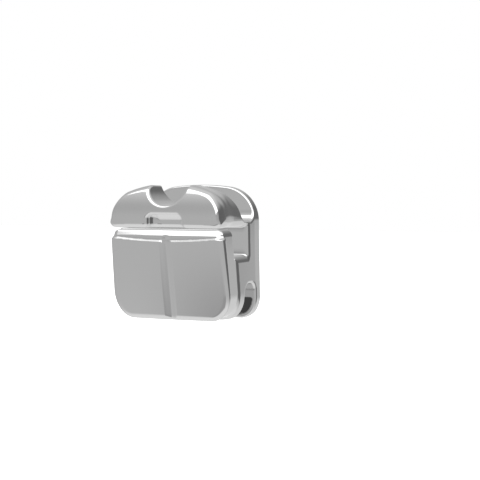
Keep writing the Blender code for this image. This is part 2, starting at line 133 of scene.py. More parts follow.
def blend(value: Array, start: float, end: float) -> Array:
    """0 before start, 1 after end, and 3t^2 - 2t^3 between them."""
    t = np.clip((value - start) / (end - start), 0, 1)
    return t * t * (3 - 2 * t)


@dataclass(frozen=True)
class Lattice:
    """The box that a field is sampled in, in mm, and the size of its cells."""

    low: tuple[float, float, float]
    high: tuple[float, float, float]
    cell: float

    def axes(self) -> list[Array]:
        """The three rows of sample places, more than a cell beyond the box at each end.

        Returns:
            One array of places, in mm, for each axis.
        """
        rows = []
        for low, high in zip(self.low, self.high):
            count = math.ceil((high - low) / self.cell) + 4
            start = (low + high) / 2 - (count - 1) / 2 * self.cell
            rows.append(start + self.cell * np.arange(count, dtype=np.float64))
        return rows


@dataclass
class Skin:
    """The closed surface where a field is zero, as points, outward normals and quads."""

    shape: Field
    lattice: Lattice
    passes: int = 4
    points: Array = field(init=False)
    normals: Array = field(init=False)
    quads: Array = field(init=False)

    def __post_init__(self) -> None:
        """Samples the field, joins the crossed cells with quads and settles the points on the zero."""
        rows = self.lattice.axes()
        values = self.shape(rows[0][:, None, None], rows[1][None, :, None], rows[2][None, None, :])
        values = np.where(values == 0, 1e-9, values)
        inside = values < 0
        cells = tuple(n - 1 for n in inside.shape)
        total = np.zeros((3, *cells))
        count = np.zeros(cells, np.int32)
        for axis in range(3):
            self._gather(axis, rows, values, inside, total, count)
        crossed = count > 0
        number = np.full(cells, -1, np.int64)
        number[crossed] = np.arange(int(crossed.sum()))
        self.points = (total[:, crossed] / count[crossed]).T.copy()
        self.quads = np.concatenate([self._faces(axis, inside, number) for axis in range(3)])
        self._settle()

    def _gather(
        self, axis: int, rows: list[Array], values: Array, inside: Array, total: Array, count: Array
    ) -> None:
        """Adds every crossing along one axis to the four cells round its edge.

        A crossing lies at the share v0 / (v0 - v1) of the way between two samples.

        Args:
            axis: the axis along which the samples are compared.
            rows: the sample places.
            values: the field at the samples.
            inside: where the field is negative.
            total: the sums of the crossings of each cell, filled here.
            count: the number of crossings of each cell, filled here.
        """
        first = [slice(None)] * 3
        second = [slice(None)] * 3
        first[axis] = slice(None, -1)
        second[axis] = slice(1, None)
        v0, v1 = values[tuple(first)], values[tuple(second)]
        crossing = inside[tuple(first)] != inside[tuple(second)]
        share = np.where(crossing, v0 / np.where(crossing, v0 - v1, 1), 0)
        others = [n for n in range(3) if n != axis]
        for step_a in (0, 1):
            for step_b in (0, 1):
                take = [slice(None)] * 3
                take[others[0]] = slice(1, None) if step_a else slice(None, -1)
                take[others[1]] = slice(1, None) if step_b else slice(None, -1)
                here = crossing[tuple(take)]
                count += here
                for n in range(3):
                    place = [None, None, None]
                    place[n] = slice(None)
                    row = rows[n][take[n]] if n != axis else rows[n][:-1]
                    where = row[tuple(place)]
                    if n == axis:
                        where = where + share[tuple(take)] * self.lattice.cell
                    total[n] += np.where(here, where, 0)

    @staticmethod
    def _faces(axis: int, inside: Array, number: Array) -> Array:
        """One quad round each crossed edge along an axis, turned so that it faces out of the metal.

        Args:
            axis: the axis that the crossed edges lie along.
            inside: where the field is negative.
            number: the number of each cell's point, or -1.

        Returns:
            The four point numbers of each quad.
        """
        first = [slice(1, -1)] * 3
        second = [slice(1, -1)] * 3
        first[axis] = slice(None, -1)
        second[axis] = slice(1, None)
        here = inside[tuple(first)]
        place = np.argwhere(here != inside[tuple(second)])
        outward = here[tuple(place.T)]
        others = [(axis + 1) % 3, (axis + 2) % 3]
        corners = []
        for step_a, step_b in ((0, 0), (1, 0), (1, 1), (0, 1)):
            cell = place.copy()
            cell[:, others[0]] += step_a
            cell[:, others[1]] += step_b
            corners.append(number[tuple(cell.T)])
        quads = np.stack(corners, axis=1)
        return np.where(outward[:, None], quads, quads[:, ::-1])

    def slopes(self, points: Array, reach: float) -> Array:
        """The field's gradient by differences over twice the reach.

        Args:
            points: the places, in mm.
            reach: half the distance between the two samples of an axis.

        Returns:
            One gradient for each point.
        """
        out = np.empty_like(points)
        for n in range(3):
            step = np.zeros(3)
            step[n] = reach
            ahead = self.shape(*(points + step).T)
            behind = self.shape(*(points - step).T)
            out[:, n] = (ahead - behind) / (2 * reach)
        return out

    def _settle(self) -> None:
        """Moves each point along the gradient by value / slope until it lies on the surface."""
        reach = GRADIENT_REACH * self.lattice.cell
        for _ in range(self.passes):
            value = self.shape(*self.points.T)
            slope = self.slopes(self.points, reach)
            square = np.maximum((slope**2).sum(axis=1), LEAST_SLOPE)
            move = -value[:, None] * slope / square[:, None]
            length = np.linalg.norm(move, axis=1)
            limit = MOST_MOVE * self.lattice.cell
            self.points += move * np.minimum(1, limit / np.maximum(length, 1e-12))[:, None]
        slope = self.slopes(self.points, reach)
        self.normals = slope / np.maximum(np.linalg.norm(slope, axis=1), 1e-9)[:, None]

    def hollowness(self) -> Array:
        """How deep each point sits in a crevice, from 0 on open faces to 1; it measures the painted shade.

        At a few heights above the point, the share of the height that the field falls short of it, with
        less weight for the greater heights.

        Returns:
            One value for each point.
        """
        total = np.zeros(len(self.points))
        for height, weight in CREVICE_STEPS:
            above = self.shape(*(self.points + self.normals * height).T)
            total += weight * np.clip(1 - above / height, 0, 1)
        return total


def steel_object(name: str, skin: Skin, shade_and_dullness: Array | float = 0.0) -> bpy.types.Object:
    """A piece in metres, at the origin and unturned, from a skin in millimetres.

    Args:
        name: the piece's name.
        skin: its surface.
        shade_and_dullness: painted shade given by place at each point, on top of the painted shade of the
            surface's own crevices; it also raises the roughness.

    Returns:
        The new object, with the painted shade attribute that its finish reads.
    """
    mesh = bpy.data.meshes.new(name)
    points = (skin.points * MM).astype(np.float32)
    mesh.vertices.add(len(points))
    mesh.vertices.foreach_set("co", points.ravel())
    mesh.loops.add(skin.quads.size)
    mesh.loops.foreach_set("vertex_index", skin.quads.astype(np.int32).ravel())
    mesh.polygons.add(len(skin.quads))
    mesh.polygons.foreach_set("loop_start", np.arange(0, skin.quads.size, 4, dtype=np.int32))
    mesh.polygons.foreach_set("use_smooth", np.ones(len(skin.quads), bool))
    mesh.update(calc_edges=True)
    mesh.validate()
    mesh.normals_split_custom_set_from_vertices(skin.normals.tolist())
    # Painted shade: crevice depth plus the shade given by place darkens colour and glancing reflection.
    crevice_shade = mesh.attributes.new("crevice_shade", "FLOAT", "POINT")
    depth = np.clip(skin.hollowness() + shade_and_dullness, 0, 1)
    crevice_shade.data.foreach_set("value", depth.astype(np.float32))
    made = bpy.data.objects.new(name, mesh)
    bpy.context.scene.collection.objects.link(made)
    return made


@dataclass(frozen=True)
class SteelFinish:
    """Stainless steel: clouded roughness, a fine grain, and painted shade that darkens crevices, which are
    also rougher.
    """

    name: str
    colour: tuple[float, float, float]
    roughness: float
    spread: float
    grain: float
    bump: float
    # Painted shade: the share of the colour left in the deepest crevices.
    shade_tone: float = 0.12
    crevice_rough: float = 0.25
    cloud: float = 2600
    tint: float = 0.015
    relief: float = 2e-6

    def material(self) -> bpy.types.Material:
        """The finish as a material on Object coordinates.

        Roughness is the base value, give or take the spread by a soft cloud, plus a share of the crevice
        attribute. The colour varies by the tint with the fine grain, and the attribute paints shade on it:
        it darkens the colour, and through the specular tint the reflection at a glancing angle. The bump is
        the same grain.

        Returns:
            The new material.
        """
        made = bpy.data.materials.new(self.name)
        made.use_nodes = True
        nodes, links = made.node_tree.nodes, made.node_tree.links
        shader = nodes["Principled BSDF"]
        shader.inputs["Metallic"].default_value = 1.0
        place = nodes.new("ShaderNodeTexCoord").outputs["Object"]
        cloud = nodes.new("ShaderNodeTexNoise")
        cloud.inputs["Scale"].default_value = self.cloud
        cloud.inputs["Detail"].default_value = 3
        grain = nodes.new("ShaderNodeTexNoise")
        grain.inputs["Scale"].default_value = self.grain
        grain.inputs["Detail"].default_value = 2
        links.new(place, cloud.inputs["Vector"])
        links.new(place, grain.inputs["Vector"])
        rough = nodes.new("ShaderNodeMapRange")
        rough.inputs["From Min"].default_value = 0.3
        rough.inputs["From Max"].default_value = 0.7
        rough.inputs["To Min"].default_value = self.roughness - self.spread
        rough.inputs["To Max"].default_value = self.roughness + self.spread
        links.new(cloud.outputs["Fac"], rough.inputs["Value"])
        crevice_shade = nodes.new("ShaderNodeAttribute")
        crevice_shade.attribute_name = "crevice_shade"
        shade_and_dullness = nodes.new("ShaderNodeMath")
        shade_and_dullness.operation = "MULTIPLY_ADD"
        shade_and_dullness.inputs[1].default_value = self.crevice_rough
        links.new(crevice_shade.outputs["Fac"], shade_and_dullness.inputs[0])
        links.new(rough.outputs["Result"], shade_and_dullness.inputs[2])
        links.new(shade_and_dullness.outputs["Value"], shader.inputs["Roughness"])
        tint = nodes.new("ShaderNodeMixRGB")
        tint.inputs["Color1"].default_value = (*(c * (1 - self.tint) for c in self.colour), 1)
        tint.inputs["Color2"].default_value = (*(c * (1 + self.tint) for c in self.colour), 1)
        links.new(grain.outputs["Fac"], tint.inputs["Fac"])
        # Painted shade: the crevice attribute darkens the base colour.
        shade = nodes.new("ShaderNodeMixRGB")
        shade.inputs["Color2"].default_value = (*(c * self.shade_tone for c in self.colour), 1)
        links.new(crevice_shade.outputs["Fac"], shade.inputs["Fac"])
        links.new(tint.outputs["Color"], shade.inputs["Color1"])
        links.new(shade.outputs["Color"], shader.inputs["Base Color"])
        # Painted shade: the crevice attribute darkens the glancing reflection through the specular tint.
        glance = nodes.new("ShaderNodeMixRGB")
        glance.inputs["Color1"].default_value = (1, 1, 1, 1)
        glance.inputs["Color2"].default_value = (0, 0, 0, 1)
        links.new(crevice_shade.outputs["Fac"], glance.inputs["Fac"])
        links.new(glance.outputs["Color"], shader.inputs["Specular Tint"])
        relief = nodes.new("ShaderNodeBump")
        relief.inputs["Strength"].default_value = self.bump
        relief.inputs["Distance"].default_value = self.relief
        links.new(grain.outputs["Fac"], relief.inputs["Height"])
        links.new(relief.outputs["Normal"], shader.inputs["Normal"])
        return made


POLISHED = SteelFinish("tumbled_bracket_steel", (0.66, 0.66, 0.66), 0.08, 0.015, 30000, 0.10)
DOOR_POLISH = SteelFinish("polished_door_steel", (0.66, 0.66, 0.66), 0.08, 0.015, 30000, 0.08)
WIRE = SteelFinish("drawn_spring_wire", (0.58, 0.58, 0.59), 0.22, 0.03, 40000, 0.15)
FOIL = SteelFinish("brazed_foil", (0.50, 0.49, 0.48), 0.38, 0.08, 24000, 0.5)


def dress(
    piece: bpy.types.Object, finish: SteelFinish, body: Body, node: str
) -> None:
    """Gives a piece its finish and its body, and lets it stand for its CAD node.

    Args:
        piece: the piece.
        finish: its finish.
        body: the body that it rides on.
        node: the CAD node that it stands for.
    """
    piece.data.materials.append(finish.material())
    piece.visible_glossy = False
    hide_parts(node)
    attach(piece, body.value)
    logging.info("%s: %d quads on body %s", piece.name, len(piece.data.polygons), body.value)


@dataclass(frozen=True)
class Outline:
    """The bracket's outline from the front: crown, shoulders, sides that flare down, oval lower corners."""

    top: float = 1.45
    bottom: float = -1.45
    width: float = 2.48
    flare: float = 0.032
    crown: float = 2.30
    shoulder: float = 0.60
    corner_width: float = 0.48
    corner_height: float = 0.62
    inset: float = 0.0

    def distance(self, x: Array, z: Array) -> Array:
        """Signed distance to the outline in the XZ plane, in mm.

        Above the shoulder's lower end the edge is the crown's circle, or the shoulder's circle where the
        direction from the crown's centre is flatter than the point where the two circles touch. Below it
        the edge is a straight side that flares, joined to the level bottom by a quarter of an ellipse.

        Args:
            x: places across.
            z: heights.

        Returns:
            Negative inside the outline.
        """
        across = np.abs(x)
        centre = self.top - self.crown
        middle = self.width / 2 - self.shoulder
        rise = math.sqrt((self.crown - self.shoulder) ** 2 - middle**2)
        start = centre + rise
        drop = start - self.bottom - self.corner_height
        side = across - self.width / 2 - self.flare * (start - z) / drop
        crown = np.hypot(x, z - centre) - self.crown
        shoulder = np.hypot(across - middle, z - start) - self.shoulder
        flat = (z - centre) * middle < across * rise
        upper = np.where(flat & (across > middle), shoulder, crown)
        lower = oval_corner(side, self.bottom - z, self.corner_width, self.corner_height)
        return np.where(z > start, upper, lower) + self.inset


@dataclass(frozen=True)
class Slide:
    """The leaning plane where door and body part, and the door's frame on it."""

    parting: float = -1.49
    door_top: float = 0.49
    lean: float = math.radians(6.7)

    def depth(self, y: Array, z: Array) -> Array:
        """Distance behind the parting plane, square to it."""
        return (y - self.parting) * math.cos(self.lean) - (self.door_top - z) * math.sin(self.lean)

    def rise(self, y: Array, z: Array) -> Array:
        """Height along the parting plane, from the door's top."""
        return (z - self.door_top) * math.cos(self.lean) + (y - self.parting) * math.sin(self.lean)


@dataclass
class BracketBody:
    """The moulded body: pad, core, archwire slot, upper tie wing, lower wing, tie grooves and channel."""

    outline: Outline = field(default_factory=Outline)
    pad_outline: Outline = field(
        default_factory=lambda: Outline(1.41, -1.50, 2.58, 0.03, 5.00, 0.75, 0.39, 0.49)
    )
    slide: Slide = field(default_factory=Slide)
    wing_reach: float = 0.05
    reach_band: Band = (1.45, 1.95)
    pad_band: Band = (-1.45, -0.40)
    wing_front: float = -2.26
    wing_bow: float = 0.95
    bow_start: float = 0.73
    wing_pillow: float = 40.0
    lip_height: float = 0.665
    lip_lean: float = math.radians(9)
    slot_floor: float = -0.76
    slot_bottom: float = -0.09
    slot_top: float = 0.52
    slot_mouth: float = 0.09
    slot_fillet: float = 0.04
    pad_back: float = -0.11
    pad_front: float = -0.38
    rim: float = 0.12
    rim_band: Band = (0.60, 0.80)
    side_rim: float = 0.32
    side_band: Band = (0.95, 1.20)
    side_rise: Band = (0.60, 0.75)
    wing_edge: float = 0.095
    wing_corner: float = 0.16
    wing_root: float = 0.05
    groove_rim: float = 0.055
    crisp_rim: float = 0.027
    crisp_front: Band = (0.85, 1.00)
    crisp_rise: Band = (0.80, 0.95)
    pad_edge: float = 0.04
    slot_rim: float = 0.12
    mouth_rim: float = 0.15
    upper_floor: float = 0.63
    upper_width: float = 0.56
    upper_fillet: float = 0.26
    pad_fillet: float = 0.26
    rear_lean: float = math.radians(31.5)
    lower_top: float = -0.70
    lower_width: float = 0.54
    lower_fillet: float = 0.22
    notch_radius: float = 0.425
    notch_draft: float = math.radians(7)
    notch_bottom: float = 0.985
    notch_edge: float = 0.065
    recess_half: float = 0.385
    recess_top: float = 0.81
    recess_depth: float = 0.35
    recess_round: float = 0.10
    recess_fillet: float = 0.19
    recess_edge: float = 0.06
    recess_flare: float = 0.045
    flare_run: float = 0.12
    # Painted shade in the lower tie groove and the pocket, given by place.
    groove_shade: float = 0.22
    shade_band: Band = (0.66, 0.72)
    shade_front: Band = (-0.95, -0.88)
    shade_back: Band = (0.30, 0.37)
    shade_rim: Band = (0.03, 0.07)
    arch_shade: float = 1.2
    arch_band: Band = (-0.90, -0.82)
    pocket_rim: float = 0.105
    pocket_top: float = -1.04
    pocket_depth: float = 0.09
    pocket_corner: float = 0.04
    pocket_edge: float = 0.02
    pocket_band: Band = (-0.03, -0.005)
    channel_head: float = 0.60
    channel_neck: float = 0.32
    channel_lip: float = 0.11
    channel_back: float = 0.30
    channel_top: float = -0.785
    channel_edge: float = 0.015
    cell: float = 0.0245

    def edge(self, x: Array, y: Array, z: Array) -> Array:
        """The outline at each depth: the wing's reaches out in front, and turns into the pad's behind.

        Args:
            x, y, z: places across, along the depth and up.

        Returns:
            The signed distance to the outline that holds at each depth.
        """
        front = self.outline.distance(np.abs(x) - self.wing_reach * blend(-y, *self.reach_band), z)
        start, end = self.pad_band
        share = np.clip((y - start) / (end - start), 0, 1)
        return front + (self.pad_outline.distance(x, z) - front) * share

    def wing(self, x: Array, y: Array, z: Array, edge: Array) -> Array:
        """The upper tie wing in front of the slot's floor: outline, level underside and bowed front.

        The front is a plane up to where the bow starts and a circle's arc above it, less x^2 / 2R.

        Args:
            x, y, z: places across, along the depth and up.
            edge: the signed distance to the outline there.

        Returns:
            The signed distance to the wing.
        """
        rise = np.maximum(z - self.bow_start, 0)
        round_front = np.hypot(y - self.wing_front - self.wing_bow, rise) - self.wing_bow
        front = np.where(rise > 0, round_front, self.wing_front - y) + x * x / (2 * self.wing_pillow)
        lip = self.wing_front + (self.lip_height - z) * math.tan(self.lip_lean) - y
        front = np.maximum(front, lip * math.cos(self.lip_lean))
        plan = convex(edge, self.slot_top - z, self.wing_corner)
        rim = self.wing_edge + (self.rim - self.wing_edge) * blend(z, *self.rim_band)
        side = blend(np.abs(x), *self.side_band) * blend(z, *self.side_rise)
        deep = rim + (self.side_rim - self.rim) * side
        return oval_corner(plan, front, rim, deep)

    def core(self, x: Array, y: Array, z: Array, edge: Array) -> Array:
        """The block behind the door and the slot's floor, with a round lip at the slot's mouth.

        Args:
            x, y, z: places across, along the depth and up.
            edge: the signed distance to the outline there.

        Returns:
            The signed distance to the block.
        """
        front = -self.slide.depth(y, z)
        lower = convex(z - self.slot_bottom, front, self.slot_mouth, -math.sin(self.slide.lean))
        lower = convex(lower, edge, self.mouth_rim)
        back = convex(self.slot_floor - y, edge, self.slot_rim)
        return concave(lower, back, self.slot_fillet)

    def grooves(self, y: Array, z: Array) -> Array:
        """The two tie grooves behind the wings, open above and below, with the pad behind them.

        Args:
            y: places along the depth.
            z: heights.

        Returns:
            The signed distance to the metal that the grooves leave.
        """
        pad = self.pad_front - y
        reach = self.pad_front - self.upper_width - (z - self.upper_floor) * math.tan(self.rear_lean)
        wing = (y - reach) * math.cos(self.rear_lean)
        upper = concave(z - self.upper_floor, wing, self.upper_fillet, math.sin(self.rear_lean))
        upper = concave(upper, pad, self.pad_fillet)
        lower = concave(self.lower_top - z, y - self.pad_front + self.lower_width, self.lower_fillet)
        lower = concave(lower, pad, self.lower_fillet)
        return np.maximum(upper, lower)

    def notch(self, x: Array, y: Array, z: Array) -> Array:
        """The U-shaped notch through the crown: a round trough from the front into the tie groove.

        Below the level where they touch it is the trough's circle, above it the side with its draft.

        Args:
            x, y, z: places across, along the depth and up.

        Returns:
            The signed distance to the notch.
        """
        centre = self.notch_bottom + self.notch_radius
        turn = self.notch_radius * math.sin(self.notch_draft)
        round_part = np.hypot(x, z - centre) - self.notch_radius
        side = np.abs(x) * math.cos(self.notch_draft) - (z - centre) * math.sin(self.notch_draft)
        trough = np.where(z - centre > -turn, side - self.notch_radius, round_part)
        return np.maximum(trough, y - self.pad_front + self.upper_width / 3)

    def recess(self, x: Array, y: Array, z: Array) -> Array:
        """The pocket for the opening tool in the wing's lower edge."""
        sides = convex(np.abs(x) - self.recess_half, z - self.recess_top, self.recess_round)
        return convex(sides, y - self.wing_front - self.recess_depth, self.recess_fillet)

    def pocket(self, y: Array, z: Array, edge: Array) -> Array:
        """The shallow pocket in the pad's front below the lower tie groove."""
        sides = convex(edge + self.pocket_rim, z - self.pocket_top, self.pocket_corner)
        return convex(sides, np.abs(y - self.pad_front) - self.pocket_depth, self.pocket_edge)

    def painted_shade(self, points: Array) -> Array:
        """Painted shade by place, wholly in the pocket and a little in the lower tie groove; it also adds
        roughness.

        Args:
            points: places on the surface, in mm.

        Returns:
            How much painted shade each place gets, more in the arch of the groove than below it.
        """
        x, y, z = points.T
        edge = self.edge(x, y, z)
        pocket = blend(-self.pocket(y, z, edge), *self.pocket_band)
        groove = blend(-z, *self.shade_band) * blend(y, *self.shade_front) * blend(-y, *self.shade_back)
        arch = 1 + self.arch_shade * blend(z, *self.arch_band)
        groove = groove * blend(-edge, *self.shade_rim) * arch
        return np.maximum(pocket, self.groove_shade * groove)

    def channel(self, x: Array, y: Array, z: Array) -> Array:
        """The T-shaped channel for the door's tongue and the spring, open below.

        Args:
            x, y, z: places across, along the depth and up.

        Returns:
            The signed distance to the channel.
        """
        deep = self.slide.depth(y, z)
        middle = (self.channel_back + self.channel_lip) / 2
        half = (self.channel_back - self.channel_lip) / 2
        neck = np.maximum(np.abs(x) - self.channel_neck, deep - self.channel_back)
        head = np.maximum(np.abs(x) - self.channel_head, np.abs(deep - middle) - half)
        return np.maximum(np.minimum(neck, head), self.slide.rise(y, z) - self.channel_top)

    def distance(self, x: Array, y: Array, z: Array) -> Array:
        """The whole body: wing and core joined, less the grooves, notch, recess, pocket and channel.

        Args:
            x, y, z: places across, along the depth and up.

        Returns:
            The signed distance to the body.
        """
        edge = self.edge(x, y, z)
        solid = concave(self.wing(x, y, z, edge), self.core(x, y, z, edge), self.wing_root)
        crisp = blend(-y, *self.crisp_front) * blend(z, *self.crisp_rise)
        rim = self.groove_rim + (self.crisp_rim - self.groove_rim) * crisp
        solid = np.maximum(solid, convex(self.grooves(y, z), edge, rim))
        solid = np.maximum(solid, convex(y - self.pad_back, edge, self.pad_edge))
        solid = convex(solid, -self.notch(x, y, z), self.notch_edge)
        flare = self.recess_edge + self.recess_flare * blend(self.recess_top - z, 0.0, self.flare_run)
        solid = convex(solid, -self.recess(x, y, z), flare)
        solid = convex(solid, -self.pocket(y, z, edge), self.pocket_edge)
        return convex(solid, -self.channel(x, y, z), self.channel_edge)

    def build(self) -> bpy.types.Object:
        """Meshes and dresses the body.

        Returns:
            The finished piece.
        """
        half = self.pad_outline.width / 2 + self.pad_outline.flare
        low = (-half, self.wing_front, self.pad_outline.bottom)
        high = (half, self.pad_back, self.outline.top)
        skin = Skin(self.distance, Lattice(low, high, self.cell))
        piece = steel_object("bracket_body_skin", skin, self.painted_shade(skin.points))
        dress(piece, POLISHED, Body.BRACKET, "bracket_body")
        return piece


@dataclass
class SlidingDoor:
    """The door: a pillowed shield over a plate, a bead along its top, a scribe line and a tongue."""

    slide: Slide = field(default_factory=Slide)
    top: float = 0.50
    bottom: float = -1.45
    half_width: float = 1.305
    flare: float = 0.05
    step: float = 0.06
    top_corner: float = 0.16
    corner_width: float = 0.48
    corner_height: float = 0.62
    corner_split: float = -0.30
    face_lean: float = math.radians(10.6)
    shield: float = 0.28
    plate: float = 0.47
    shield_edge: float = 0.09
    rim_across: float = 0.14
    rim_deep: float = 0.13
    plate_edge: float = 0.05
    plate_sink: float = 0.05
    crease: float = 0.012
    top_round: float = 0.16
    chamfer: float = 0.150
    chamfer_lean: float = math.radians(36)
    chamfer_edge: float = 0.05
    chamfer_band: Band = (0.27, 0.37)
    back_gap: float = 0.02
    pillow_across: float = 40.0
    pillow_tall: float = 40.0
    bead_height: float = 0.225
    bead_step: float = 0.045
    bead_lean: float = math.radians(34)
    bead_edge: float = 0.015
    bead_bow: float = 0.05
    bead_half: float = 1.1
    scribe_depth: float = 0.045
    scribe_radius: float = 0.11
    scribe_top: float = 0.455
    scribe_run: float = 0.20
    scribe_rise: float = 0.5
    scribe_edge: float = 0.05
    neck_half: float = 0.30
    neck_depth: float = 0.13
    neck_sink: float = 0.05
    head_half: float = 0.45
    head_depth: float = 0.15
    tongue_length: float = 0.88
    tongue_bottom: float = -1.8426
    tongue_edge: float = 0.02
    scallop_edge: float = 0.01
    scallop_depth: float = 0.045
    scallop_length: float = 0.16
    travel: float = 0.60
    gap_shade: float = 0.30
    gap_turn: Band = (0.90, 0.97)
    gap_band: Band = (0.46, 0.48)
    cell: float = 0.0155

    def edge(self, x: Array, z: Array) -> Array:
        """Signed distance to the door's outline from the front, wider below by the flare.

        Args:
            x: places across.
            z: heights.

        Returns:
            Negative inside the outline.
        """
        start = self.top - self.top_corner
        drop = start - self.bottom - self.corner_height
        side = np.abs(x) - self.half_width - self.flare * (start - z) / drop
        lower = oval_corner(side, self.bottom - z, self.corner_width, self.corner_height)
        upper = convex(side, z - self.top, self.top_corner)
        return np.where(z > self.corner_split, upper, lower)

    def face(self, y: Array, z: Array) -> Array:
        """Signed distance in front of the leaning face, positive outside."""
        front = self.slide.parting - self.plate - self.shield
        reach = front + (self.top - z) * math.tan(self.face_lean)
        return (reach - y) * math.cos(self.face_lean)

    def front(self, x: Array, y: Array, z: Array) -> Array:
        """The face with the set-back bead along its top, whose lower edge bows upwards to the sides.

        The face falls back by x^2 / 2R across and by h^2 / 2R up and down, h from its middle. The bead's
        lower edge rises by the bow times (x / half width)^2.

        Args:
            x, y, z: places across, along the depth and up.

        Returns:
            The signed distance in front of the face and bead.
        """
        middle = (self.top + self.bottom) / 2
        pillow = x * x / (2 * self.pillow_across) + (z - middle) ** 2 / (2 * self.pillow_tall)
        face = self.face(y, z) + pillow
        line = self.bead_height + self.bead_bow * (x / self.bead_half) ** 2
        turn = math.cos(self.face_lean + self.bead_lean)
        proper = convex(face, self.sloped(face, z - line, self.bead_lean), self.bead_edge, turn)
        return concave(face + self.bead_step, proper, self.bead_edge, turn)

    def sloped(self, face: Array, height: Array, lean: float) -> Array:
        """Signed distance to a slope that leans back from the line where face and height are both 0.

        It is cos(lean) / cos(face lean) of the face's distance, and as much of the height as makes it one
        plane.

        Args:
            face: the signed distance in front of the face.
            height: the height over the line.
            lean: the slope's angle from the upright.

        Returns:
            The signed distance in front of the slope.
        """
        share = math.cos(lean) / math.cos(self.face_lean)
        lift = math.sin(lean) + share * math.sin(self.face_lean)
        return share * face + lift * height

    def tongue(self, x: Array, y: Array, z: Array) -> Array:
        """The T-shaped tongue on the back, with two pairs of scallops in its head.

        A scallop of length l and depth d is cut by a circle of radius (l^2 / 4 + d^2) / 2d.

        Args:
            x, y, z: places across, along the depth and up.

        Returns:
            The signed distance to the tongue.
        """
        deep = self.slide.depth(y, z)
        rise = self.slide.rise(y, z)
        low = self.tongue_bottom
        middle = low + self.tongue_length / 2
        length = np.abs(rise - middle) - self.tongue_length / 2
        back = self.neck_depth + self.head_depth
        neck = np.maximum(np.abs(x) - self.neck_half, np.abs(deep) - back + self.neck_sink)
        across = np.abs(deep - self.neck_depth - self.head_depth / 2) - self.head_depth / 2
        head = convex(np.abs(x) - self.head_half, across, self.tongue_edge)
        radius = (self.scallop_length**2 / 4 + self.scallop_depth**2) / (2 * self.scallop_depth)
        centre = self.head_half - self.scallop_depth + radius
        closed = np.hypot(np.abs(x) - centre, rise - low - self.scallop_length) - radius
        opened = np.hypot(np.abs(x) - centre, rise - low - self.scallop_length - self.travel) - radius
        head = convex(head, -np.minimum(closed, opened), self.scallop_edge)
        return convex(np.minimum(neck, head), length, self.tongue_edge)

    def distance(self, x: Array, y: Array, z: Array) -> Array:
        """The whole door: shield and plate meeting in a crease, tongue behind, scribe line in front.

        The shield's rim is an ellipse at the sides and a chamfer along the top, blended between them.

        Args:
            x, y, z: places across, along the depth and up.

        Returns:
            The signed distance to the door.
        """
        edge = self.edge(x, z)
        deep = self.slide.depth(y, z)
        front = self.front(x, y, z)
        rounded = oval_corner(edge, front, self.rim_across, self.rim_deep)
        turn = math.cos(self.face_lean + self.chamfer_lean)
        slope = self.sloped(front, edge + self.chamfer, self.chamfer_lean)
        chamfered = convex(front, slope, self.chamfer_edge, turn)
        top = convex(chamfered, edge, self.top_round, math.sin(self.chamfer_lean))
        shield = rounded + (top - rounded) * blend(z, *self.chamfer_band)
        shield = convex(shield, deep + self.plate, self.shield_edge)
        shield = np.maximum(shield, convex(edge, deep + self.plate, self.shield_edge))
        inner = np.where(z > 0, self.edge(np.abs(x) + self.step, z), edge + self.step)
        middle = (self.plate + self.plate_sink) / 2
        plate = convex(np.abs(deep + middle) - middle + self.back_gap, inner, self.plate_edge)
        solid = concave(shield, plate, self.crease)
        solid = np.minimum(solid, self.tongue(x, y, z))
        run_out = self.scribe_rise * np.maximum(z - self.scribe_top + self.scribe_run, 0)
        ahead = self.face(y, z) - self.scribe_radius + self.scribe_depth
        groove = np.hypot(np.hypot(x, run_out), ahead) - self.scribe_radius
        return convex(solid, -groove, self.scribe_edge)

    def build(self) -> bpy.types.Object:
        """Meshes and dresses the door.

        Returns:
            The finished piece.
        """
        half = self.half_width + self.flare
        low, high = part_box("sliding_door")
        lattice = Lattice((-half, low[1] / MM, self.bottom), (half, high[1] / MM, self.top), self.cell)
        skin = Skin(self.distance, lattice)
        shaded = self.gap_shade * blend(skin.normals[:, 2], *self.gap_turn)
        shaded *= blend(skin.points[:, 2], *self.gap_band)
        piece = steel_object("sliding_door_skin", skin, shaded)
        dress(piece, DOOR_POLISH, Body.DOOR, "sliding_door")
        return piece


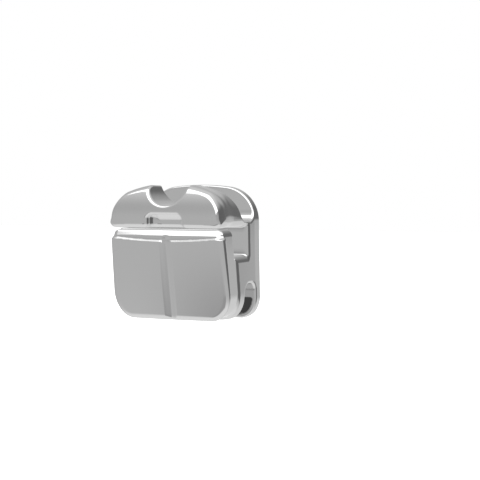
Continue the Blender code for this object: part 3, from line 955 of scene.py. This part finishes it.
@dataclass
class DetentSpring:
    """The U of round spring wire in the guide channel, with a bump inwards on each leg."""

    slide: Slide = field(default_factory=Slide)
    wire: float = 0.12
    leg: float = 0.525
    top: float = -0.86
    bump: float = 0.03
    bump_half: float = 0.08
    bump_rise: float = -1.6726
    depth: float = 0.205
    steps: int = 9
    cell: float = 0.0125

    def route(self) -> Array:
        """The right half of the centre line, from the middle of the U to the leg's end.

        The bend is a quarter of a circle. The bump goes inwards by bump / 2 * (1 + cos(pi * rise / half)).

        Returns:
            The places across and their rise, in mm.
        """
        turn = np.linspace(math.pi / 2, 0, self.steps)
        across = self.leg - self.wire + self.wire * np.cos(turn)
        bend = np.stack([across, self.top - self.wire + self.wire * np.sin(turn)], axis=1)
        rise = np.linspace(self.bump_half, -self.bump_half, self.steps)
        dip = self.bump / 2 * (1 + np.cos(np.pi * rise / self.bump_half))
        snap = np.stack([self.leg - dip, self.bump_rise + rise], axis=1)
        end = self.bump_rise - 2 * self.bump_half
        return np.concatenate([[(0.0, self.top)], bend, snap, [(self.leg, end)]])

    def distance(self, x: Array, y: Array, z: Array) -> Array:
        """Distance to the nearest stretch of the centre line, less the wire's radius.

        Args:
            x, y, z: places across, along the depth and up.

        Returns:
            The signed distance to the wire.
        """
        across = np.abs(x)
        rise = self.slide.rise(y, z)
        deep = self.slide.depth(y, z) - self.depth
        points = self.route()
        nearest = np.full(np.broadcast(across, rise).shape, FAR)
        for (u0, v0), (u1, v1) in zip(points[:-1], points[1:]):
            du, dv = u1 - u0, v1 - v0
            share = np.clip(((across - u0) * du + (rise - v0) * dv) / (du * du + dv * dv), 0, 1)
            nearest = np.minimum(nearest, np.hypot(across - u0 - share * du, rise - v0 - share * dv))
        return np.hypot(nearest, deep) - self.wire / 2

    def build(self) -> bpy.types.Object:
        """Meshes and dresses the spring.

        Returns:
            The finished piece.
        """
        low, high = (tuple(c / MM for c in corner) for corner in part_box("detent_spring"))
        piece = steel_object("detent_spring_wire", Skin(self.distance, Lattice(low, high, self.cell)))
        dress(piece, WIRE, Body.BRACKET, "detent_spring")
        return piece


@dataclass
class BondingMesh:
    """The foil pad with woven wires brazed to its back, which the adhesive grips."""

    outline: Outline = field(default_factory=lambda: Outline(inset=0.06))
    thickness: float = 0.10
    edge_round: float = 0.015
    floor: float = -0.06
    pitch: float = 0.25
    wire: float = 0.055
    border: float = 0.09
    border_fade: float = 0.02
    steepness: float = 0.7
    sway: float = 0.012
    cell: float = 0.019

    def relief(self, x: Array, z: Array) -> Array:
        """Depth of the woven back at each place: the higher of the two families of wires.

        A wire's height over the foil is sqrt(r^2 - d^2) at the distance d from its centre line, raised and
        lowered by the sway from crossing to crossing.

        Args:
            x: places across.
            z: heights.

        Returns:
            The place of the back along the depth.
        """
        column = np.round(x / self.pitch)
        row = np.round(z / self.pitch)
        over = self.sway * np.cos(np.pi * (column + z / self.pitch))
        under = self.sway * np.cos(np.pi * (row + x / self.pitch + 1))
        upright = np.sqrt(np.maximum(self.wire**2 - (x - column * self.pitch) ** 2, 0)) + over
        level = np.sqrt(np.maximum(self.wire**2 - (z - row * self.pitch) ** 2, 0)) + under
        return np.minimum(self.floor + np.maximum(np.maximum(upright, level), 0), 0.0)

    def distance(self, x: Array, y: Array, z: Array) -> Array:
        """The foil and its weave inside a plain border.

        Args:
            x, y, z: places across, along the depth and up.

        Returns:
            The signed distance to the foil, shortened on the weave's slopes by the steepness.
        """
        edge = self.outline.distance(x, z)
        inside = blend(-edge, self.border, self.border + self.border_fade)
        back = y - self.relief(x, z) * inside
        half = self.thickness / 2
        return np.maximum(convex(edge, np.abs(y + half) - half, self.edge_round), back * self.steepness)

    def build(self) -> bpy.types.Object:
        """Meshes and dresses the foil.

        Returns:
            The finished piece.
        """
        low, high = (tuple(c / MM for c in corner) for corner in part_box("bonding_mesh"))
        piece = steel_object("bonding_mesh_weave", Skin(self.distance, Lattice(low, high, self.cell)))
        dress(piece, FOIL, Body.BRACKET, "bonding_mesh")
        return piece


@dataclass(frozen=True)
class Panel:
    """A soft-edged panel round the bracket: its four edges and their fades in degrees, and its level."""

    left: float
    right: float
    low: float
    high: float
    side_fade: float
    low_fade: float
    high_fade: float
    level: float


@dataclass(frozen=True)
class Overhead:
    """A softbox above the bracket: its four edges as slopes from the upright, its softness and level.

    The front edge runs askew: it lies where y / z + slant * x / z equals front.
    """

    left: float
    right: float
    front: float
    slant: float
    back: float
    softness: float
    level: float


class SkyLevel:
    """Builds the brightness of the mirrored sky from the ray's azimuth and elevation."""

    HORIZON = 0.02

    def __init__(self, tree: bpy.types.NodeTree) -> None:
        """Splits the ray's direction into azimuth, elevation and slopes from the upright.

        Args:
            tree: the world's node tree.
        """
        self.tree = tree
        place = tree.nodes.new("ShaderNodeTexCoord")
        split = tree.nodes.new("ShaderNodeSeparateXYZ")
        tree.links.new(place.outputs["Generated"], split.inputs["Vector"])
        x, y, z = split.outputs["X"], split.outputs["Y"], split.outputs["Z"]
        self.azimuth = self.sum("DEGREES", self.sum("ARCTAN2", x, self.sum("MULTIPLY", y, -1.0)))
        self.elevation = self.sum("DEGREES", self.sum("ARCSINE", z))
        high = self.sum("MAXIMUM", z, self.HORIZON)
        self.slope_x = self.sum("DIVIDE", x, high)
        self.slope_y = self.sum("DIVIDE", y, high)

    def sum(self, operation: str, *values: bpy.types.NodeSocket | float) -> bpy.types.NodeSocket:
        """One Math node on sockets or numbers.

        Args:
            operation: the node's operation.
            values: what goes in, in the node's order.

        Returns:
            The node's value.
        """
        node = self.tree.nodes.new("ShaderNodeMath")
        node.operation = operation
        for place, value in zip(node.inputs, values):
            if isinstance(value, float):
                place.default_value = value
            else:
                self.tree.links.new(value, place)
        return node.outputs["Value"]

    def step(self, value: bpy.types.NodeSocket, start: float, end: float) -> bpy.types.NodeSocket:
        """A smooth step of a socket, from 0 at start to 1 at end.

        Args:
            value: the socket.
            start: where the step is 0.
            end: where it is 1.

        Returns:
            The stepped socket.
        """
        node = self.tree.nodes.new("ShaderNodeMapRange")
        node.interpolation_type = "SMOOTHSTEP"
        node.inputs["From Min"].default_value = start
        node.inputs["From Max"].default_value = end
        self.tree.links.new(value, node.inputs["Value"])
        return node.outputs["Result"]

    def ramp(self, stops: tuple[tuple[float, float], ...]) -> bpy.types.NodeSocket:
        """Brightness by elevation through the given (degrees, level) stops.

        Args:
            stops: elevations in degrees and their levels, lowest first.

        Returns:
            The colour socket.
        """
        share = self.tree.nodes.new("ShaderNodeMapRange")
        share.inputs["From Min"].default_value = -90
        share.inputs["From Max"].default_value = 90
        self.tree.links.new(self.elevation, share.inputs["Value"])
        node = self.tree.nodes.new("ShaderNodeValToRGB")
        node.color_ramp.interpolation = "B_SPLINE"
        elements = node.color_ramp.elements
        for element, (degrees, level) in zip(elements, (stops[0], stops[-1])):
            element.position = (degrees + 90) / 180
            element.color = (level, level, level, 1)
        for degrees, level in stops[1:-1]:
            elements.new((degrees + 90) / 180).color = (level, level, level, 1)
        self.tree.links.new(share.outputs["Result"], node.inputs["Fac"])
        return node.outputs["Color"]

    def mix(
        self, below: bpy.types.NodeSocket, mask: bpy.types.NodeSocket, level: float
    ) -> bpy.types.NodeSocket:
        """The colour below, turned to a level where the mask is 1.

        Args:
            below: the colour so far.
            mask: where the level takes its place.
            level: the level.

        Returns:
            The mixed colour.
        """
        node = self.tree.nodes.new("ShaderNodeMixRGB")
        node.inputs["Color2"].default_value = (level, level, level, 1)
        self.tree.links.new(mask, node.inputs["Fac"])
        self.tree.links.new(below, node.inputs["Color1"])
        return node.outputs["Color"]

    def lay(self, below: bpy.types.NodeSocket, panel: Panel) -> bpy.types.NodeSocket:
        """Lays a panel over the colour below.

        Its mask is a smooth step of the distance from its middle azimuth, times one for each of its lower
        and upper edges.

        Args:
            below: the colour so far.
            panel: the panel.

        Returns:
            The colour with the panel.
        """
        middle = (panel.left + panel.right) / 2
        half = (panel.right - panel.left) / 2
        across = self.sum("ABSOLUTE", self.sum("SUBTRACT", self.azimuth, float(middle)))
        around = self.sum("MINIMUM", across, self.sum("SUBTRACT", 360.0, across))
        soft = panel.side_fade / 2
        mask = self.step(around, half + soft, half - soft)
        for edge, fade in ((panel.low, panel.low_fade), (panel.high, -panel.high_fade)):
            rise = self.step(self.elevation, edge - fade / 2, edge + fade / 2)
            mask = self.sum("MULTIPLY", mask, rise)
        return self.mix(below, mask, panel.level)

    def lay_overhead(self, below: bpy.types.NodeSocket, box: Overhead) -> bpy.types.NodeSocket:
        """Lays the softbox over the colour below: four smooth steps of the slopes, multiplied.

        Args:
            below: the colour so far.
            box: the softbox.

        Returns:
            The colour with the softbox.
        """
        soft = box.softness
        mask = self.step(self.slope_x, box.left - soft, box.left + soft)
        mask = self.sum("MULTIPLY", mask, self.step(self.slope_x, box.right + soft, box.right - soft))
        askew = self.sum("MULTIPLY_ADD", self.slope_x, float(box.slant), self.slope_y)
        mask = self.sum("MULTIPLY", mask, self.step(askew, box.front - soft, box.front + soft))
        mask = self.sum("MULTIPLY", mask, self.step(self.slope_y, box.back + soft, box.back - soft))
        return self.mix(below, mask, box.level)


@dataclass
class Studio:
    """White sweep, pale floor, and a sky that the polished steel mirrors."""

    focal: float = 1173.461
    picture: float = 480
    sensor: float = 36
    turn: float = math.radians(22.543)
    pitch: float = math.radians(2.705)
    eye: tuple[float, float, float] = (10.731, -23.967, 1.416)
    floor_height: float = -2.10
    floor_half: float = 60
    floor_white: float = 0.9
    floor_glow: float = 0.85
    stops: tuple[tuple[float, float], ...] = (
        (-90, 1.0),
        (-50, 1.0),
        (-40, 0.88),
        (-32, 0.70),
        (-24, 0.63),
        (-10, 0.60),
        (0, 0.62),
        (10, 0.58),
        (22, 0.54),
        (36, 0.60),
        (52, 0.80),
        (62, 0.92),
        (90, 0.75),
    )
    panels: tuple[Panel, ...] = (
        Panel(90, 150, -22, 36, 14, 10, 26, 0.17),
        Panel(144, 184, 0, 24, 16, 4, 22, 0.19),
        Panel(150, 215, -50, -9, 14, 10, 8, 0.85),
        Panel(-28, 32, -46, -24.5, 14, 8, 11, 0.43),
    )
    overhead: Overhead = Overhead(-0.75, 1.8, -1.22, 1.5, 0.12, 0.08, 2.2)

    def camera(self) -> bpy.types.Object:
        """The camera at the photograph's viewing angle.

        Returns:
            The scene's camera.
        """
        data = bpy.data.cameras.new("product_camera")
        data.sensor_width = self.sensor
        data.lens = self.focal / self.picture * data.sensor_width
        data.clip_start = 0.0001
        made = bpy.data.objects.new("product_camera", data)
        made.location = Vector(self.eye) * MM
        back = Vector(
            (
                math.sin(self.turn) * math.cos(self.pitch),
                -math.cos(self.turn) * math.cos(self.pitch),
                math.sin(self.pitch),
            )
        )
        made.rotation_euler = (-back).to_track_quat("-Z", "Y").to_euler()
        bpy.context.scene.collection.objects.link(made)
        bpy.context.scene.camera = made
        return made

    def floor(self) -> bpy.types.Object:
        """A pale floor under the bracket, low enough for the open door.

        Returns:
            The floor.
        """
        mesh = bpy.data.meshes.new("floor")
        half = self.floor_half * MM
        height = self.floor_height * MM
        turns = ((-1, -1), (1, -1), (1, 1), (-1, 1))
        mesh.from_pydata([(half * x, half * y, height) for x, y in turns], [], [(0, 1, 2, 3)])
        made = bpy.data.objects.new("floor", mesh)
        bpy.context.scene.collection.objects.link(made)
        paint = bpy.data.materials.new("white_sweep")
        paint.use_nodes = True
        shader = paint.node_tree.nodes["Principled BSDF"]
        shader.inputs["Base Color"].default_value = (*[self.floor_white] * 3, 1)
        shader.inputs["Roughness"].default_value = 0.9
        shader.inputs["Emission Color"].default_value = (1, 1, 1, 1)
        shader.inputs["Emission Strength"].default_value = self.floor_glow
        mesh.materials.append(paint)
        made.visible_glossy = False
        return made

    def sky(self) -> None:
        """The world: white to the eye, and the studio's panels to the rays that the steel mirrors."""
        world = bpy.data.worlds.new("studio_sky")
        world.use_nodes = True
        bpy.context.scene.world = world
        tree = world.node_tree
        tree.nodes.clear()
        level = SkyLevel(tree)
        value = level.ramp(self.stops)
        for panel in self.panels:
            value = level.lay(value, panel)
        value = level.lay_overhead(value, self.overhead)
        mirrored = tree.nodes.new("ShaderNodeBackground")
        tree.links.new(value, mirrored.inputs["Color"])
        white = tree.nodes.new("ShaderNodeBackground")
        white.inputs["Color"].default_value = (1, 1, 1, 1)
        path = tree.nodes.new("ShaderNodeLightPath")
        mix = tree.nodes.new("ShaderNodeMixShader")
        out = tree.nodes.new("ShaderNodeOutputWorld")
        tree.links.new(path.outputs["Is Glossy Ray"], mix.inputs["Fac"])
        tree.links.new(white.outputs["Background"], mix.inputs[1])
        tree.links.new(mirrored.outputs["Background"], mix.inputs[2])
        tree.links.new(mix.outputs["Shader"], out.inputs["Surface"])

    def build(self) -> None:
        """Sets up the camera, the floor, the sky and plain colours without a film look."""
        self.camera()
        self.floor()
        self.sky()
        bpy.context.scene.view_settings.view_transform = "Standard"


def main() -> None:
    """Builds every piece in order and reports it."""
    logging.basicConfig(level=logging.INFO, format="%(message)s")
    BracketBody().build()
    SlidingDoor().build()
    DetentSpring().build()
    BondingMesh().build()
    Studio().build()


if __name__ == "__main__":
    main()
